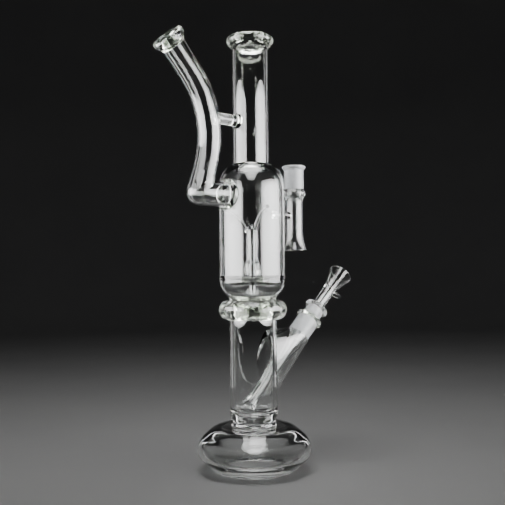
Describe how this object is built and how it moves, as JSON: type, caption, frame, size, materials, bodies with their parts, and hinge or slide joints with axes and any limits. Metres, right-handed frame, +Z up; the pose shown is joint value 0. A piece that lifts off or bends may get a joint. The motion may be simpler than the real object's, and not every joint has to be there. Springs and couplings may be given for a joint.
{
  "type": "glass water pipe",
  "caption": "Clear glass water pipe with a hollow round foot, ringed percolator chamber, straight neck, bent second mouthpiece, slanted socket with lift-out bowl, and a side bowl holder.",
  "frame": {"origin": "middle of the foot's contact face, on the surface it stands on", "axes": "+Z up the main tube, towards the straight neck's lip; +X towards the slanting arm with the bowl; the bent mouthpiece leans to -X"},
  "size_m": [0.2632, 0.12, 0.4571],
  "materials": {
    "clear_glass": "clear blown borosilicate glass, fire-polished, 3 to 5 mm walls",
    "thick_glass": "solid clear glass, thick enough to show a faint yellow-green tint",
    "ground_glass": "ground white frosted glass, as on a standard taper joint"
  },
  "bodies": {
    "pipe": {"foot_top": "clear_glass", "foot_shoulder": "clear_glass", "foot_skirt": "clear_glass", "lower_tube": "clear_glass", "chamber_cone": "clear_glass", "chamber_can": "clear_glass", "chamber_shoulder": "clear_glass", "neck_tube": "clear_glass", "perc_dish": "clear_glass", "perc_riser": "clear_glass", "perc_sleeve": "clear_glass", "perc_struts": "clear_glass", "elbow": "clear_glass", "bent_tube": "clear_glass", "bridge_rod": "clear_glass", "arm_shroud": "clear_glass", "downstem": "clear_glass", "holder_bulge": "clear_glass", "holder_tube": "clear_glass", "holder_bell": "clear_glass", "holder_bridge": "clear_glass", "maria_ring": "thick_glass", "socket_lip": "thick_glass", "neck_lip": "thick_glass", "elbow_collar": "thick_glass", "bent_lip": "thick_glass", "neck_nub": "thick_glass", "bent_nub": "thick_glass", "ground_socket": "ground_glass", "holder_lip": "ground_glass", "holder_socket": "ground_glass"},
    "bowl": {"bowl_joint": "ground_glass", "bowl_flange": "clear_glass", "bowl_stem": "clear_glass", "bowl_cup": "clear_glass", "bowl_horn": "clear_glass"}
  },
  "joints": [
    {"name": "bowl_lift", "type": "slide", "parent": "pipe", "child": "bowl", "axis": [0.7254, 0, 0.6884], "range_m": [0, 0.045]}
  ]
}
